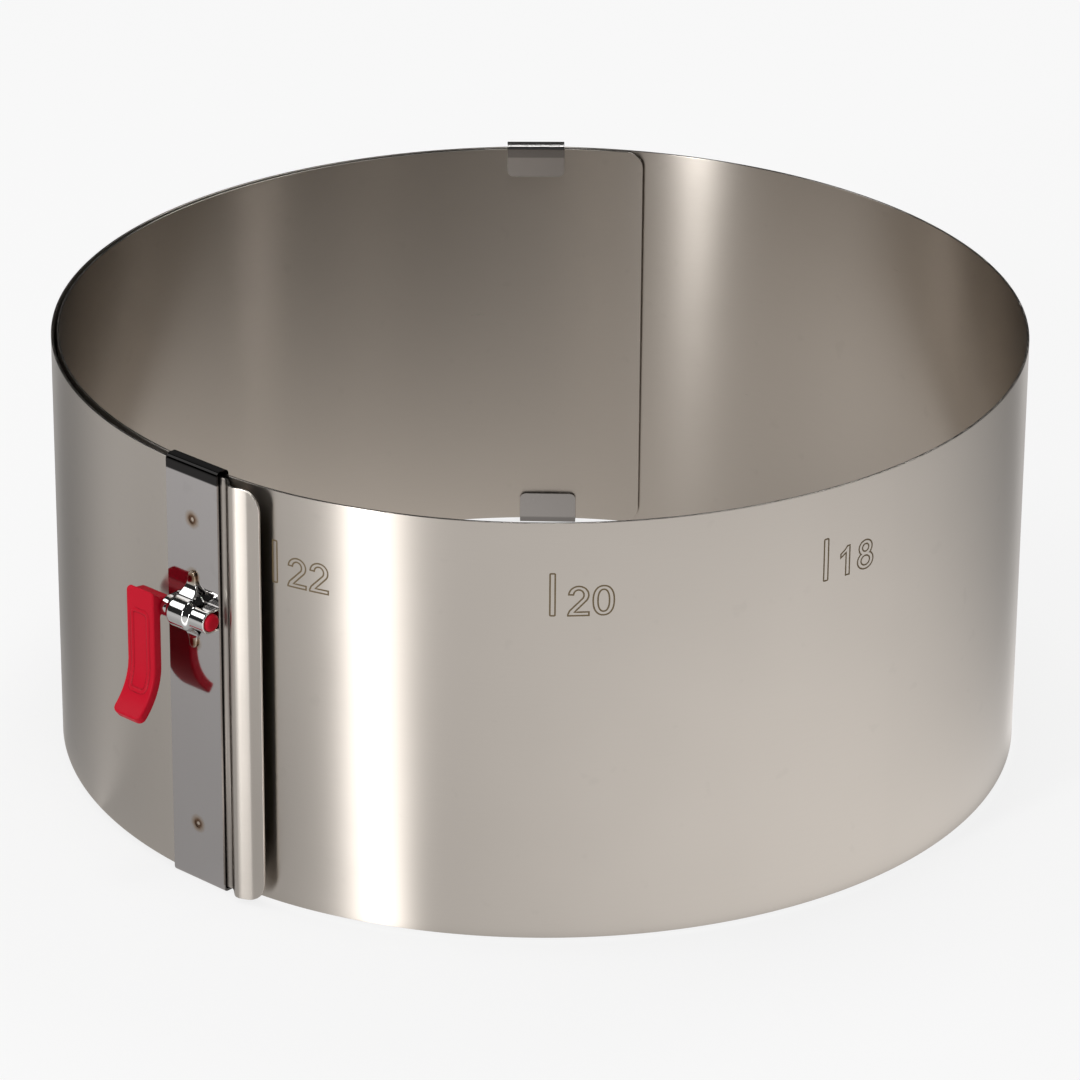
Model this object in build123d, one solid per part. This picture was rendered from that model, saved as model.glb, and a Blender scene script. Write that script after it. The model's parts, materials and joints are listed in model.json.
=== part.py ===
from build123d import *
import os
from math import cos, degrees, pi, radians, sin, sqrt

# Adjustable cake ring: one springy steel strip rolled to a ring that laps over itself. A clamp on the
# outer end grips the lap, and two small clips on the inner end keep the layers together.
# The origin is on the ring's axis, at the level of the lowest clip. Z points up and the clamp is at
# the front left. All lengths are millimetres and all angles are degrees.

# The strip, cut into arcs that turn on upright hinge lines so that the ring can change its size
lap_length = 312.1
strip_height = 100.0
strip_thickness = 0.6
layer_gap = 0.6
outer_end_radius = 112.15
outer_end_angle = 238.5
lead_length = 36.0
tail_length = 36.0
band_arcs = 37
seam_clearance = 0.05
free_corner_radius = 4.0

# The free lip of the outer end, which stands off the layer beneath
lip_length = 12.6
lip_inner_bend = 7.0
lip_outer_bend = 9.0
lip_bend_angle = 26.0

# Sheet of the clamp plate and clips, and the room that their hooks leave round both layers
sheet_thickness = 0.6
sheet_bend_radius = 0.7
seat_clearance = 0.03
hook_opening = 2.5
edge_clearance = 0.6
tab_corner_radius = 1.5

# Clamp plate
plate_from_outer_end = 20.7
plate_width = 15.6
plate_tab_length = 6.0
window_clearance = 0.25
dimple_radius = 1.0
dimple_depth = 0.1
plate_dimple_heights = (87.8, 13.4)

# Guide clips at the inner end
upper_clip_from_inner_end = 26.7
lower_clip_from_inner_end = 23.1
clip_width = 14.0
clip_tab_length = 7.0

# Lever axle, cam and handle
axle_height = 66.3
axle_stand_off = 2.4
axle_radius = 2.0
axle_right_end = 8.6
axle_end_rounding = 0.7
cam_radius = 2.5
cam_throw = 0.45
cam_width = 4.0
handle_width = 8.5
handle_right_side = 5.8
handle_thickness = 2.4
handle_back = 1.95
handle_top = 4.2
handle_straight_drop = 13.8
handle_bend_radius = 16.5
handle_bend_angle = 52.0
handle_corner_radius = 1.6
handle_edge_rounding = 0.35
hub_top_slope_share = 0.55
panel_width = 5.4
panel_length = 19.2
panel_top_drop = 1.2
panel_corner_radius = 1.5
panel_rib_width = 0.5
panel_rib_height = 0.2

# Saddle that holds the axle on the plate
saddle_thickness = 0.6
saddle_left_end = 5.4
saddle_right_end = 7.8
axle_clearance = 0.08
cam_clearance = 0.2
saddle_tongue_reach = 7.9
saddle_tongue_tip_width = 2.6
saddle_tongue_root_width = 5.0

# Values that follow from the sizes above
layer_pitch = strip_thickness + layer_gap
strip_length = 2 * pi * (outer_end_radius - layer_pitch / 2) + lap_length
hook_rise = edge_clearance + sheet_thickness
band_base = hook_rise
band_top = band_base + strip_height
plate_face = seat_clearance + sheet_thickness
cam_reach = cam_radius + cam_throw
cam_room = cam_reach + cam_clearance
collar_half_width = cam_width / 2 + cam_clearance + saddle_thickness
axle_level = band_base + axle_height


def direction(angle):
    """Unit vector in the plan at this angle."""
    return Vector(cos(radians(angle)), sin(radians(angle)))


def spiral_radius(along):
    """Radius of the strip's middle line at this length from the outer end."""
    return sqrt(outer_end_radius**2 - layer_pitch * along / pi)


def band_layout():
    """Centre, radius, start angle and turn of each arc, from the outer end clockwise to the inner."""
    middle = (strip_length - lead_length - tail_length) / (band_arcs - 2)
    lengths = [lead_length] + [middle] * (band_arcs - 2) + [tail_length]
    arcs = []
    along = 0.0
    angle = outer_end_angle
    point = direction(angle) * outer_end_radius
    for length in lengths:
        radius = spiral_radius(along + length / 2)
        centre = point - direction(angle) * radius
        turn = degrees(length / radius)
        arcs.append((centre, radius, angle, turn))
        angle -= turn
        point = centre + direction(angle) * radius
        along += length
    return arcs


layout = band_layout()


def end_place(arc, back):
    """Point and outward direction on an arc's middle line, a length back from its clockwise end."""
    centre, radius, angle, turn = arc
    here = angle - turn + degrees(back / radius)
    return centre + direction(here) * radius, direction(here)


def face_plane(place, stand_off):
    """Upright plane at the foot of the strip: x along it, counterclockwise, y up and z outward."""
    point, outward = place
    along = Vector(-outward.Y, outward.X)
    return Plane(origin=point + outward * stand_off, x_dir=along, z_dir=outward)


def side_plane(face, sideways=0.0, height=0.0, stand_off=0.0):
    """Upright plane square to the strip: x outward, y up, z clockwise along the strip."""
    origin = face.from_local_coords(Vector(sideways, height, stand_off))
    return Plane(origin=origin, x_dir=face.z_dir, z_dir=-face.x_dir)


def band_arc(arc, start_gap, end_gap):
    """One arc of the strip, held back from the hinge lines at its two ends."""
    centre, radius, angle, turn = arc
    start = angle - degrees(start_gap / radius)
    size = degrees(start_gap / radius) + degrees(end_gap / radius) - turn
    outer = CenterArc(centre, radius + strip_thickness / 2, start, size)
    inner = CenterArc(centre, radius - strip_thickness / 2, start, size)
    section = make_face([outer, Line(outer @ 1, inner @ 1), inner, Line(inner @ 0, outer @ 0)])
    return extrude(Pos(0, 0, band_base) * section, amount=strip_height)


def round_free_corners(solid, point):
    """Round the two corners of the strip at a free end whose middle line ends at this point."""
    for level in (band_base, band_top):
        corner = Vector(point.X, point.Y, level)
        solid = fillet(solid.edges().sort_by_distance(corner)[0], free_corner_radius)
    return solid


def band_lead():
    """Outer end of the strip, with the free lip that springs outward past the clamp plate."""
    arc = layout[0]
    radius = arc[1]
    point, outward = end_place(arc, seam_clearance / 2)
    tangent = Vector(-outward.Y, outward.X)
    held = degrees((lead_length - lip_length - seam_clearance / 2) / radius)
    rise = radians(lip_bend_angle) * (lip_inner_bend + lip_outer_bend)
    root = JernArc(point, tangent, radius, held)
    away = JernArc(root @ 1, root % 1, lip_inner_bend, -lip_bend_angle)
    back = JernArc(away @ 1, away % 1, lip_outer_bend, lip_bend_angle)
    lip = JernArc(back @ 1, back % 1, radius, degrees((lip_length - rise) / radius))
    section = trace([root, away, back, lip], line_width=strip_thickness)
    solid = extrude(Pos(0, 0, band_base) * section, amount=strip_height)
    return round_free_corners(solid, lip @ 1)


def band_tail():
    """Inner end of the strip, with two rounded free corners."""
    arc = layout[-1]
    point, outward = end_place(arc, 0.0)
    return round_free_corners(band_arc(arc, seam_clearance / 2, 0.0), point)


def bent_sheet(plane, corners, width):
    """Sheet bent along a side outline given by its middle line, and extruded to both sides."""
    line = FilletPolyline(*corners, radius=sheet_bend_radius + sheet_thickness / 2)
    section = trace(line, line_width=sheet_thickness)
    return extrude(plane * section, amount=width / 2, both=True)


def round_tab(solid, plane, width, outward, level):
    """Round the two corners of a tab whose middle line ends at this place of its side plane."""
    for side in (-width / 2, width / 2):
        corner = plane.from_local_coords(Vector(outward, level, side))
        solid = fillet(solid.edges().sort_by_distance(corner)[0], tab_corner_radius)
    return solid


def dimple(face, height, stand_off):
    """Shallow round mark that a spot weld leaves in a sheet."""
    place = face * Pos(0, height, stand_off - dimple_depth)
    return place * extrude(Circle(dimple_radius), amount=sheet_thickness)


clamp_arc = layout[0]
clamp_face = face_plane(end_place(clamp_arc, lead_length - plate_from_outer_end), strip_thickness / 2)


def clamp_plate():
    """Flat upright plate whose two ends hook round the edges of both layers."""
    side = side_plane(clamp_face)
    outer = seat_clearance + sheet_thickness / 2
    inner = seat_clearance - hook_opening - sheet_thickness / 2
    top = band_top + edge_clearance + sheet_thickness / 2
    bottom = band_base - edge_clearance - sheet_thickness / 2
    upper_tip = band_top - plate_tab_length
    lower_tip = band_base + plate_tab_length
    corners = ((inner, upper_tip), (inner, top), (outer, top))
    corners += ((outer, bottom), (inner, bottom), (inner, lower_tip))
    plate = bent_sheet(side, corners, plate_width)
    for level in (upper_tip, lower_tip):
        plate = round_tab(plate, side, plate_width, inner, level)
    window_height = 2 * (sqrt(cam_reach**2 - axle_stand_off**2) + window_clearance)
    window = Box(cam_width + 2 * window_clearance, window_height, 2 * plate_face)
    plate -= clamp_face * Pos(0, axle_level) * window
    for height in plate_dimple_heights:
        plate -= dimple(clamp_face, band_base + height, plate_face)
    return plate


def arch(radius, left, right):
    """Solid half-round bar on the plate, over the axle, between two places along the strip."""
    bar = Pos(axle_stand_off) * Circle(radius)
    foot = Pos(axle_stand_off / 2) * Rectangle(axle_stand_off, 2 * radius)
    low = Pos(-radius) * Rectangle(2 * radius, 2 * (radius + axle_stand_off))
    section = bar + foot - low
    place = side_plane(clamp_face, right, axle_level, plate_face)
    return extrude(place * section, amount=right - left)


def clamp_saddle():
    """Pressed saddle: a half-round tunnel with a raised collar and two welded tongues."""
    tunnel = arch(axle_radius + axle_clearance + saddle_thickness, -saddle_left_end, saddle_right_end)
    collar_radius = cam_room + saddle_thickness
    collar = arch(collar_radius, -collar_half_width, collar_half_width)
    root = saddle_tongue_root_width / 2
    tip = saddle_tongue_tip_width / 2
    straight = saddle_tongue_reach
    tongue = Polygon((-root, 0), (root, 0), (tip, straight), (-tip, straight), align=None)
    tongue += Pos(0, straight) * Circle(tip)
    tongue += mirror(tongue, about=Plane.XZ)
    strap = clamp_face * Pos(0, axle_level, plate_face) * extrude(tongue, amount=saddle_thickness)
    saddle = tunnel + collar + strap
    saddle -= arch(axle_radius + axle_clearance, -saddle_left_end, saddle_right_end)
    saddle -= arch(cam_room, -cam_width / 2 - cam_clearance, cam_width / 2 + cam_clearance)
    for height in (axle_level + saddle_tongue_reach, axle_level - saddle_tongue_reach):
        saddle -= dimple(clamp_face, height, plate_face + saddle_thickness)
    return saddle


def handle_line(stand_off, top):
    """Outer or inner line of the handle's side outline, from its top to the tip, about the axle."""
    straight = Line((stand_off, top), (stand_off, -handle_straight_drop))
    bend = handle_bend_radius + handle_back - stand_off
    sweep = JernArc(straight @ 1, straight % 1, bend, handle_bend_angle)
    return straight, sweep


def handle_section():
    """Side outline of the handle, with the slope that joins its top to the axle."""
    front, front_sweep = handle_line(handle_back + handle_thickness, handle_top)
    slope_foot = handle_top * hub_top_slope_share
    back, back_sweep = handle_line(handle_back, slope_foot)
    tip = Line(front_sweep @ 1, back_sweep @ 1)
    slope = Line(front @ 0, back @ 0)
    grip = make_face([front, front_sweep, tip, back_sweep, back, slope])
    hub = Polygon((0, 0), (0, -axle_radius), (handle_back, -axle_radius), (handle_back, slope_foot),
                  (0, axle_radius), align=None)
    return grip + hub + Circle(axle_radius)


def panel_rib(middle):
    """Raised rounded border on the handle's outward face, round a bare panel."""
    outer = RectangleRounded(panel_width, panel_length, panel_corner_radius)
    inner = RectangleRounded(panel_width - 2 * panel_rib_width, panel_length - 2 * panel_rib_width,
                             panel_corner_radius - panel_rib_width)
    border = extrude(outer - inner, amount=handle_thickness + handle_bend_radius)
    face = handle_back + handle_thickness
    inside, inside_sweep = handle_line(face - panel_rib_height, handle_top)
    outside, outside_sweep = handle_line(face + panel_rib_height, handle_top)
    ends = [Line(inside @ 0, outside @ 0), Line(inside_sweep @ 1, outside_sweep @ 1)]
    skin = make_face([inside, inside_sweep, outside, outside_sweep] + ends)
    place = side_plane(clamp_face, middle, axle_level, plate_face + axle_stand_off)
    skin = extrude(place * skin, amount=panel_width, both=True)
    drop = panel_top_drop + panel_length / 2
    return skin & (clamp_face * Pos(middle, axle_level - drop, plate_face + axle_stand_off) * border)


def handle_body(place):
    """Handle with rounded corners at its tip and softened edges on its two sides."""
    handle = extrude(place * handle_section(), amount=handle_width / 2, both=True)
    middle_radius = handle_bend_radius - handle_thickness / 2
    swing = radians(handle_bend_angle)
    outward = handle_back + handle_bend_radius - middle_radius * cos(swing)
    level = -handle_straight_drop - middle_radius * sin(swing)
    for side in (-handle_width / 2, handle_width / 2):
        corner = place.from_local_coords(Vector(outward, level, side))
        handle = fillet(handle.edges().sort_by_distance(corner)[0], handle_corner_radius)
    across = Axis(place.origin, place.z_dir)
    sides = handle.faces().filter_by(across).sort_by(across)
    rims = sides[0].edges() + sides[-1].edges()
    return fillet(rims, handle_edge_rounding)


def clamp_lever():
    """Lever moulded in one piece with its axle and cam. It hangs down when the clamp is shut."""
    axis_stand_off = plate_face + axle_stand_off
    middle = -handle_right_side - handle_width / 2
    handle = handle_body(side_plane(clamp_face, middle, axle_level, axis_stand_off))
    axle_length = axle_right_end + handle_right_side + handle_width / 2
    axle = Cylinder(axle_radius, axle_length, align=(Align.CENTER, Align.CENTER, Align.MIN))
    axle = fillet(axle.edges().sort_by(Axis.Z)[0], axle_end_rounding)
    axle = side_plane(clamp_face, axle_right_end, axle_level, axis_stand_off) * axle
    cam = side_plane(clamp_face, 0.0, axle_level, axis_stand_off) * Pos(-cam_throw)
    cam = cam * Cylinder(cam_radius, cam_width)
    return handle + axle + cam + panel_rib(middle)


def guide_clip(from_end, upper):
    """Small clip that hooks over one edge of both layers near the inner end."""
    inside_radius = layout[-1][1] - strip_thickness / 2
    rise = inside_radius - sqrt(inside_radius**2 - (clip_width / 2) ** 2)
    side = side_plane(face_plane(end_place(layout[-1], from_end), -strip_thickness / 2))
    inner = -rise - seat_clearance - sheet_thickness / 2
    outer = inner + hook_opening + sheet_thickness
    way = 1 if upper else -1
    edge = band_top if upper else band_base
    crown = edge + way * (edge_clearance + sheet_thickness / 2)
    tip = edge - way * clip_tab_length
    clip = bent_sheet(side, ((inner, tip), (inner, crown), (outer, crown), (outer, tip)), clip_width)
    for outward in (inner, outer):
        clip = round_tab(clip, side, clip_width, outward, tip)
    return clip


def build():
    """Every piece by its node name."""
    pieces = {"band_01": band_lead()}
    for number, arc in enumerate(layout[1:-1], start=2):
        pieces[f"band_{number:02d}"] = band_arc(arc, seam_clearance / 2, seam_clearance / 2)
    pieces[f"band_{band_arcs:02d}"] = band_tail()
    pieces["clamp_plate"] = clamp_plate()
    pieces["clamp_saddle"] = clamp_saddle()
    pieces["clamp_lever"] = clamp_lever()
    pieces["guide_clip_upper"] = guide_clip(upper_clip_from_inner_end, True)
    pieces["guide_clip_lower"] = guide_clip(lower_clip_from_inner_end, False)
    return pieces


os.makedirs("parts", exist_ok=True)
for name, piece in build().items():
    export_step(piece, f"parts/{name}.step")
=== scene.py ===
import json
import math
import bmesh
import bpy
import numpy as np
from mathutils import Matrix, Vector

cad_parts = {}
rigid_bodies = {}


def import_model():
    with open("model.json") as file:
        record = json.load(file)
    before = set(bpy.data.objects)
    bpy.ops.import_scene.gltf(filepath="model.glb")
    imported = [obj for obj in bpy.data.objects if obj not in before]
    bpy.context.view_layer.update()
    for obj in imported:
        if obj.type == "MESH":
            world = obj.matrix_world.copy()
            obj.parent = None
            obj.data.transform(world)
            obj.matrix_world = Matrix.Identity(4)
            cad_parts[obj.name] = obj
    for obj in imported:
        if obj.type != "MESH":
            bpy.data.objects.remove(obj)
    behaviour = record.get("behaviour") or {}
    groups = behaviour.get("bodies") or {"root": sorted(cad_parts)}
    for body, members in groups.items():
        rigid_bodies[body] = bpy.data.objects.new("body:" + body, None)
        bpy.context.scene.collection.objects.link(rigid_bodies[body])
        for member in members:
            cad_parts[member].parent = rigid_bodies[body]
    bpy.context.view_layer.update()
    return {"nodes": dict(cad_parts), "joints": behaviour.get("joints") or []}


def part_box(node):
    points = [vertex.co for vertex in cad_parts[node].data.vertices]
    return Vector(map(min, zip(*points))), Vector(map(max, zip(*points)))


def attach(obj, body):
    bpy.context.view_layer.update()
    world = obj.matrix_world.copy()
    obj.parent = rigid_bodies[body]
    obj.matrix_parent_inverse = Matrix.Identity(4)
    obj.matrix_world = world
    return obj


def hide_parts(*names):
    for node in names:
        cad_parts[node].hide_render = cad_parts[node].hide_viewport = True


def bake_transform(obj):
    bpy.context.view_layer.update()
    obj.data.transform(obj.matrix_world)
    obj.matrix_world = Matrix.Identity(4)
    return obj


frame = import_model()

# The look of the adjustable cake ring, in the frame of the imported model. Lengths are metres, except in
# the tongue's table and for the camera's lens and sensor, which are in millimetres.
# The strip of the imported model is cut into arcs, which are hidden; here one smooth skin covers them,
# in spans laid where the arcs rest.

MM = 0.001

# Strip. Angles along it fall clockwise from its first hinge and go on below zero.
strip_thickness = 0.6 * MM
rim_rounding, rim_steps = 0.13 * MM, 3
column_step = 1.0 * MM
lead_length, tail_length = 36.0 * MM, 36.0 * MM
free_corner_radius, lip_corner_radius, corner_steps = 4.0 * MM, 4.8 * MM, 10
first_hinge_azimuth = math.radians(220.0)
line_turn_step = math.radians(0.25)

# Free lip at the outer end: it steps off the layer beneath, and its crown is flared a little outward.
# Each bend is a length and a curvature, which is below zero where the lip turns away from the ring.
lip_reach = 11.5 * MM
lip_bend_radius = 1.5 * MM
lip_rise_angle, lip_return_angle = math.radians(44.0), math.radians(62.6)
lip_slope_length = 2.6 * MM
lip_crown_radius, lip_crown_length = 60.0 * MM, 2.9 * MM
lip_flare_radius, lip_flare_length = 6.0 * MM, 0.8 * MM
lip_edge_length = 2.6 * MM
lip_bends = ((lip_rise_angle * lip_bend_radius, -1.0 / lip_bend_radius),
             (lip_slope_length, 0.0),
             (lip_return_angle * lip_bend_radius, 1.0 / lip_bend_radius),
             (lip_crown_length, -1.0 / lip_crown_radius),
             (lip_flare_length, -1.0 / lip_flare_radius),
             (lip_edge_length, 0.0))
lip_length = sum(length for length, _ in lip_bends)
lip_steps = 24

# Where the clamp and the clips hold the strip flat, at its two ends
clamp_reach = 16.0 * MM + lip_length
clip_reach = 33.8 * MM
tail_bend_reach = 4.4 * MM

# How far the inner layer springs inward beside the clamp
sag_depth = 0.75 * MM
sag_start, sag_peak, sag_end = (math.radians(angle) for angle in (-118.0, -136.0, -188.0))

# Saddle: a tunnel with a raised collar over the cam, and two tongues that sweep down to their welds.
# Places along the strip, heights from the axle and distances from the plate's face.
sheet_thickness = 0.6 * MM
axle_stand_off = 2.4 * MM
tunnel_left, tunnel_right, tunnel_radius = -5.4 * MM, 7.8 * MM, 2.68 * MM
tunnel_rows, tunnel_columns = 60, 25
collar_radius, collar_half_width, collar_slope_end = 3.75 * MM, 2.1 * MM, 3.6 * MM
tongue_tip, tongue_foot, tongue_root, tongue_rows = 9.2 * MM, 6.8 * MM, 2.6 * MM, 40
tongue_rise, tongue_sweep = 4.3 * MM, 2.2

# Tongue: heights and widths in millimetres, from the tip down
tongue_widths = ((9.2, 0.6), (9.05, 1.2), (8.7, 1.8), (8.2, 2.1),
                 (7.0, 2.4), (5.6, 3.4), (4.2, 4.6), (2.6, 5.4))

# Handle: its far side and top, and the cuts in degrees that round its upper corner
handle_side, handle_top, handle_corner_radius = -14.3 * MM, 4.2 * MM, 2.4 * MM
handle_corner_cuts = (12.0, 34.0, 56.0, 78.0)

# Even skins of the saddle and the lever: grain, and how often and how strongly they are smoothed
saddle_grain, saddle_smoothing = 0.13 * MM, 6
lever_grain, lever_smoothing = 0.17 * MM, 8
smoothing_strength = 0.5
merge_distance = 0.001 * MM

# Weld marks: heights above the strip's lower edge
weld_heights = (87.8 * MM, 74.1 * MM, 58.4 * MM, 13.4 * MM)

# Scale marks: the left edge of the first one as an angle along the strip, and the turn between two
mark_numbers = (18, 20, 22, 24, 26, 28, 30)
first_mark_angle, mark_spacing = math.radians(303.4 - 360.0), math.radians(32.35)
mark_width, mark_low, mark_high, mark_corner = 1.1 * MM, 78.3 * MM, 88.2 * MM, 0.2 * MM
figure_unit_along, figure_unit_up = 0.726 * MM, 0.69 * MM
figure_low, figure_start, figure_advance = 78.25 * MM, 3.85 * MM, 5.38 * MM
zero_fullness = 0.87

# Lines of the scale, which are low ridges on the strip, and the steps of their outlines
line_width, line_proud, line_sunk = 0.36 * MM, 0.012 * MM, 0.05 * MM
line_step, least_line_step = 0.8 * MM, line_width / 4
sharpest_mitre = 0.5
arc_step = 10.0

# Camera, matched to the photograph
camera_distance = 1.35025
camera_elevation = math.radians(24.822)
camera_target = Vector((-0.17 * MM, 0.0, 45.87 * MM))
camera_roll = math.radians(0.42)
camera_lens = 192.8
sensor_width = 36.0

# Finish: swings of each pattern to the metre and its detail, and how strongly the patterns show
strip_grain, sheet_grain, grain_detail = (120.0, 5200.0, 0.0), (700.0, 700.0, 5200.0), 3.0
smudge_grain, smudge_detail = (45.0, 45.0, 45.0), 4.0
spot_grain, spot_detail, spot_fade = (160.0, 160.0, 160.0), 2.0, (0.66, 0.74)
grain_spread, smudge_spread, tone_spread, spot_depth = 0.10, 0.16, 0.045, 0.03
mould_grain, mould_detail = (2400.0, 2400.0, 2400.0), 3.0
mould_roughness, mould_roughness_spread, mould_tone_spread = 0.42, 0.12, 0.10
mould_bump, mould_bump_depth = 0.12, 0.05 * MM
# Painted shade in the creases of the mouldings, where the skin bends inward sharply: range of that
# sharpness, and the shade
painted_crease_fade, painted_crease_shade = (0.475, 0.499), 0.35

# Painted shade on the flat top of the strip's upper edge: heights from it, and the shade that they fade
# to
rim_fade, rim_painted_tone = (-0.012 * MM, -0.002 * MM), 0.55

# Heat colours round a weld, each at a share of the weld's reach, outward
weld_reach, weld_wobble = 2.4 * MM, 0.5 * MM
weld_grain, weld_detail = (900.0, 900.0, 900.0), 2.0
weld_colours = ((0.14, (1.25, 1.12, 0.95)), (0.26, (0.22, 0.12, 0.07)), (0.42, (0.42, 0.28, 0.18)),
                (0.66, (0.82, 0.72, 0.62)), (1.0, (1.0, 1.0, 1.0)))

# Upper hook of the clamp plate: heights from the strip's edge, and the painted shade that they fade to,
# darker on the hook's foot and bend for the dark that they reflect and many times lighter on its crown
hook_foot, hook_foot_painted_shade = (-2.2 * MM, -1.8 * MM), 0.065
hook_bend, hook_bend_painted_shade = (-0.2 * MM, 0.5 * MM), 0.5
hook_crown, hook_crown_painted_light = (0.95 * MM, 1.15 * MM), 26.0

# Sheared sides of the clamp plate: distances from its middle and outward of the strip, and the painted
# shade on them, darkest next to the strip
plate_depth = 0.63 * MM
plate_edge_fade, plate_edge_painted_shade = (7.72 * MM, 7.79 * MM), 0.25
plate_edge_depth, plate_edge_front_painted_shade = (0.12 * MM, 0.3 * MM), 0.9

# Guide clips: heights and painted shades from bottom to top, darker towards the floor and lighter above,
# heights of the lower clip's bend from the strip's edge, and the painted shade of both bends; the upper
# clip's bend lies at the heights of the hook's foot
clip_heights, clip_painted_shades = (20.0 * MM, 80.0 * MM), (0.80, 1.42)
clip_foot, clip_bend_painted_shade = (0.2 * MM, 0.9 * MM), 0.6

# Floor: its reach from the axis, its colour, and how much of it is plain white to the camera
floor_reach = 4.0
floor_colour = (0.8, 0.8, 0.8)
floor_glow_share = 0.8

# Floor as the metal reflects it, outside the ring, all painted glow: an even base with painted shade
# near the ring, a wide painted pool of light to the front right, a weaker one to the front left, and a
# narrow painted streak of light
floor_outside_colour, floor_inside_colour = (1.0, 0.985, 0.975), (1.04, 0.985, 0.93)
floor_base = 0.30
floor_near_reach, floor_near_share = (0.115, 0.36), 0.62
floor_pool, floor_pool_azimuth, floor_pool_sharpness = 0.93, math.radians(315.0), 1.5
floor_pool_reach, floor_pool_far_share = (0.15, 0.7), 0.15
floor_left_pool, floor_left_azimuth, floor_left_sharpness = 0.50, math.radians(225.0), 2.0
floor_streak, floor_streak_azimuth, floor_streak_sharpness = 1.9, math.radians(231.0), 220.0
floor_streak_source = (0.005, -0.058)

# Smaller painted patches of light on it: strength, azimuth, sharpness and the place that they spread
# from
floor_patches = ((0.6, math.radians(72.0), 80.0, (0.105, -0.030)),
                 (0.35, math.radians(106.0), 80.0, (-0.105, -0.030)),
                 (0.17, math.radians(152.0), 25.0, (-0.100, -0.050)))

# Floor inside the ring, a painted glow that is brighter to one side, and where inside and outside meet
floor_inside, floor_inside_slope, floor_inside_azimuth = 0.43, 3.0, math.radians(145.0)
ring_edge = (0.108, 0.116)

# Surround, as it lights the ring, as the metal reflects it and as the camera sees it
world_fill = (0.45, 0.45, 0.45)
world_gloss = (0.03, 0.03, 0.03)
world_white = (1.0, 1.0, 1.0)

# Lamps: name, azimuth and elevation in degrees, width, height and power
lamps = (("key_box", 231.0, 17.0, 0.14, 0.68, 6.5),
         ("back_box", 60.0, 55.0, 0.5, 0.55, 3.4),
         ("left_box", 176.0, 38.0, 0.5, 0.55, 2.2),
         ("top_box", 270.0, 84.0, 0.3, 0.3, 2.2))
lamp_distance = 1.3
lamp_aim = Vector((0.0, 0.0, 50.0 * MM))

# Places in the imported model: its arcs and hinges, the strip's edges, and the lever's axle
arc_count = sum(node.startswith("band_") for node in frame["nodes"])
bodies = ["clamp_body"] + [f"strip_{number:02d}" for number in range(2, arc_count)] + ["inner_end"]
hinge_places = {frozenset((joint["parent"], joint["child"])): joint["pos_m"]
                for joint in frame["joints"]}
hinges = np.array([hinge_places[frozenset(pair)][:2] for pair in zip(bodies, bodies[1:])])
strip_low, strip_high = (corner.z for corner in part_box("band_02"))
lever_joint = next(joint for joint in frame["joints"] if joint["child"] == "lever")
axle_place = np.array(lever_joint["pos_m"])
along_plate = -np.array(lever_joint["axis"])
off_plate = np.cross(along_plate, (0.0, 0.0, 1.0))


def on_plate(along, up, out):
    """Point at a place along the clamp plate, a height from the axle and a distance from its face."""
    outward = off_plate * (out - axle_stand_off)
    return axle_place + along_plate * along + np.array((0.0, 0.0, up)) + outward


def placed(name, data):
    """New object of the scene with this data."""
    obj = bpy.data.objects.new(name, data)
    bpy.context.collection.objects.link(obj)
    return obj


# Sums, patterns and mixes in the trees of materials

def feed(tree, node, values):
    """Set the first sockets of a node to numbers and vectors, or link them to outputs."""
    for socket, value in zip(node.inputs, values):
        if isinstance(value, bpy.types.NodeSocket):
            tree.links.new(value, socket)
        else:
            socket.default_value = value


def calculate(tree, operation, *values):
    """Result of a sum on numbers and outputs of nodes."""
    node = tree.nodes.new("ShaderNodeMath")
    node.operation = operation
    feed(tree, node, values)
    return node.outputs[0]


def calculate_vector(tree, operation, *values):
    """Results of a sum on vectors or colours, by their names: Vector and Value."""
    node = tree.nodes.new("ShaderNodeVectorMath")
    node.operation = operation
    feed(tree, node, values)
    return node.outputs


def product(tree, first, *others):
    """Product of several numbers and outputs."""
    for other in others:
        first = calculate(tree, "MULTIPLY", first, other)
    return first


def fade(tree, value, low, high, start, end):
    """Smooth change from a start to an end while the value goes from low to high."""
    node = tree.nodes.new("ShaderNodeMapRange")
    node.interpolation_type = "SMOOTHSTEP"
    feed(tree, node, (value, low, high, start, end))
    return node.outputs[0]


def noise(tree, where, stretch, detail):
    """Noise from 0 to 1, with so many swings to the metre in each direction."""
    node = tree.nodes.new("ShaderNodeTexNoise")
    node.inputs["Scale"].default_value = 1.0
    node.inputs["Detail"].default_value = detail
    scaled = calculate_vector(tree, "MULTIPLY", where, stretch)["Vector"]
    tree.links.new(scaled, node.inputs["Vector"])
    return node.outputs[0]


def varied(tree, value, spread, pattern):
    """The value with a pattern from 0 to 1 laid over it."""
    return calculate(tree, "MULTIPLY_ADD", pattern, spread, value - spread / 2)


def tinted(tree, colour, strength):
    """A colour times a number or another colour."""
    return calculate_vector(tree, "MULTIPLY", colour, strength)["Vector"]


def mixed(tree, share, first, second):
    """One surface that gives way to another by a share."""
    node = tree.nodes.new("ShaderNodeMixShader")
    feed(tree, node, (share, first, second))
    return node.outputs[0]


def any_of(tree, first, *others):
    """Sum of light path outputs, at most 1."""
    for other in others:
        first = calculate(tree, "ADD", first, other)
        first.node.use_clamp = True
    return first


def object_place(tree):
    """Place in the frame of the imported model."""
    return tree.nodes.new("ShaderNodeTexCoord").outputs["Object"]


def strip_place(tree):
    """Length along the strip and height."""
    node = tree.nodes.new("ShaderNodeUVMap")
    node.uv_map = "strip"
    return node.outputs[0]


def split(tree, vector):
    """The three numbers of a vector."""
    node = tree.nodes.new("ShaderNodeSeparateXYZ")
    tree.links.new(vector, node.inputs[0])
    return node.outputs


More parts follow.
